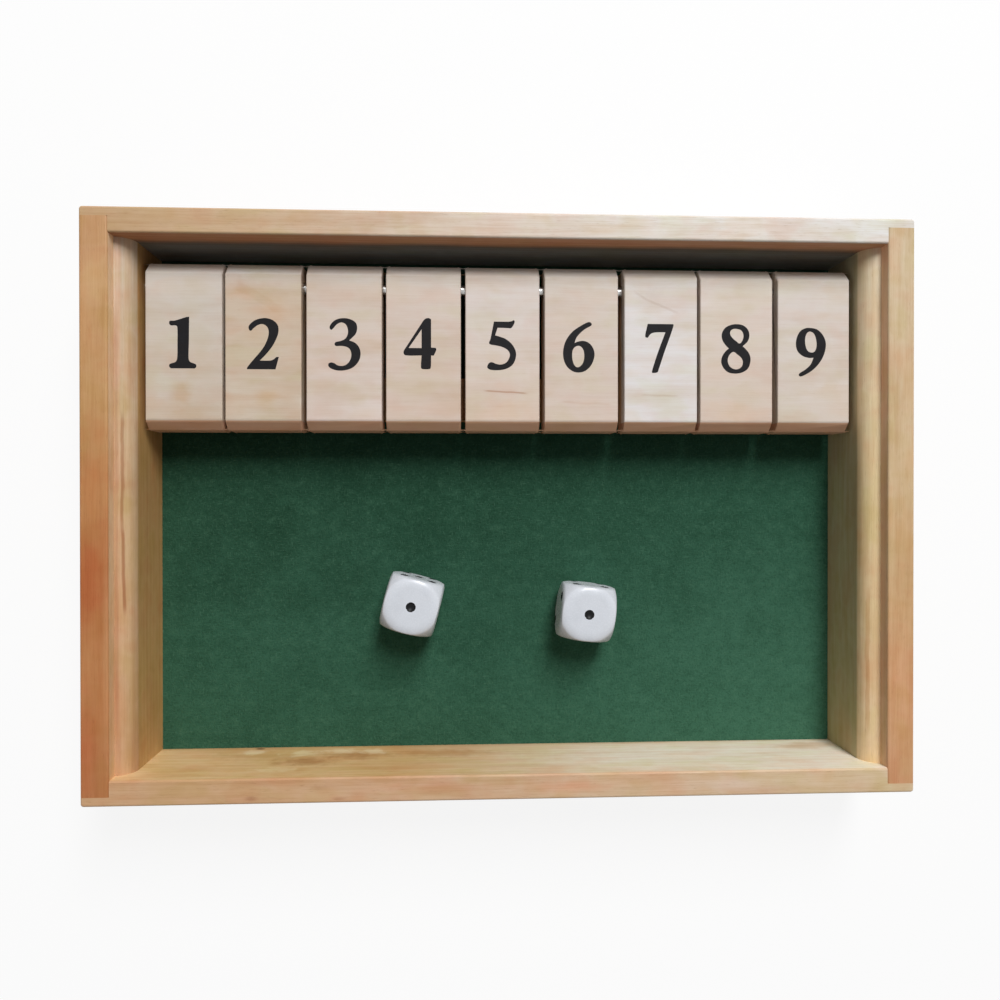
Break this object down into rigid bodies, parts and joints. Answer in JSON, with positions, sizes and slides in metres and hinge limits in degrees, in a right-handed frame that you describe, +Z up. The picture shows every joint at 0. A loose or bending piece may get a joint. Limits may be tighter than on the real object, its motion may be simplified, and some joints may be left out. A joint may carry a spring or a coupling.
{
  "type": "shut the box game",
  "caption": "Open wooden tray game with a green felt floor, numbered flip tiles on a steel rod and white dice.",
  "frame": {"origin": "middle of the underside of the tray", "axes": "+X to the right along the row of tiles, towards tile 9; +Y to the back board, by the tiles; +Z up"},
  "size_m": [0.224, 0.1574, 0.032],
  "materials": {
    "case_wood": "satin",
    "rail_wood": "satin",
    "base_wood": "matte",
    "tile_wood": "satin",
    "felt": "matte",
    "rod_steel": "polished",
    "die_plastic": "gloss"
  },
  "bodies": {
    "tray": {"front_board": "case_wood", "back_board": "case_wood", "left_board": "case_wood", "right_board": "case_wood", "base_panel": "base_wood", "felt_sheet": "felt", "left_inner_rail": "rail_wood", "right_inner_rail": "rail_wood", "pivot_rod": "rod_steel", "tile_rest": "rail_wood"},
    "tile_1_body": {"tile_1": "tile_wood"},
    "tile_2_body": {"tile_2": "tile_wood"},
    "tile_3_body": {"tile_3": "tile_wood"},
    "tile_4_body": {"tile_4": "tile_wood"},
    "tile_5_body": {"tile_5": "tile_wood"},
    "tile_6_body": {"tile_6": "tile_wood"},
    "tile_7_body": {"tile_7": "tile_wood"},
    "tile_8_body": {"tile_8": "tile_wood"},
    "tile_9_body": {"tile_9": "tile_wood"},
    "die_1_body": {"die_1": "die_plastic"},
    "die_2_body": {"die_2": "die_plastic"}
  },
  "joints": [
    {"name": "tile_1_flip", "type": "hinge", "parent": "tray", "child": "tile_1_body", "pos_m": [0, 0.0614, 0.016], "axis": [-1, 0, 0], "range_deg": [0, 107]},
    {"name": "tile_2_flip", "type": "hinge", "parent": "tray", "child": "tile_2_body", "pos_m": [0, 0.0614, 0.016], "axis": [-1, 0, 0], "range_deg": [0, 107]},
    {"name": "tile_3_flip", "type": "hinge", "parent": "tray", "child": "tile_3_body", "pos_m": [0, 0.0614, 0.016], "axis": [-1, 0, 0], "range_deg": [0, 107]},
    {"name": "tile_4_flip", "type": "hinge", "parent": "tray", "child": "tile_4_body", "pos_m": [0, 0.0614, 0.016], "axis": [-1, 0, 0], "range_deg": [0, 107]},
    {"name": "tile_5_flip", "type": "hinge", "parent": "tray", "child": "tile_5_body", "pos_m": [0, 0.0614, 0.016], "axis": [-1, 0, 0], "range_deg": [0, 107]},
    {"name": "tile_6_flip", "type": "hinge", "parent": "tray", "child": "tile_6_body", "pos_m": [0, 0.0614, 0.016], "axis": [-1, 0, 0], "range_deg": [0, 107]},
    {"name": "tile_7_flip", "type": "hinge", "parent": "tray", "child": "tile_7_body", "pos_m": [0, 0.0614, 0.016], "axis": [-1, 0, 0], "range_deg": [0, 107]},
    {"name": "tile_8_flip", "type": "hinge", "parent": "tray", "child": "tile_8_body", "pos_m": [0, 0.0614, 0.016], "axis": [-1, 0, 0], "range_deg": [0, 107]},
    {"name": "tile_9_flip", "type": "hinge", "parent": "tray", "child": "tile_9_body", "pos_m": [0, 0.0614, 0.016], "axis": [-1, 0, 0], "range_deg": [0, 107]},
    {"name": "die_1_lift", "type": "slide", "parent": "tray", "child": "die_1_body", "axis": [0, 0, 1], "range_m": [0, 0.06]},
    {"name": "die_2_lift", "type": "slide", "parent": "tray", "child": "die_2_body", "axis": [0, 0, 1], "range_m": [0, 0.06]}
  ]
}
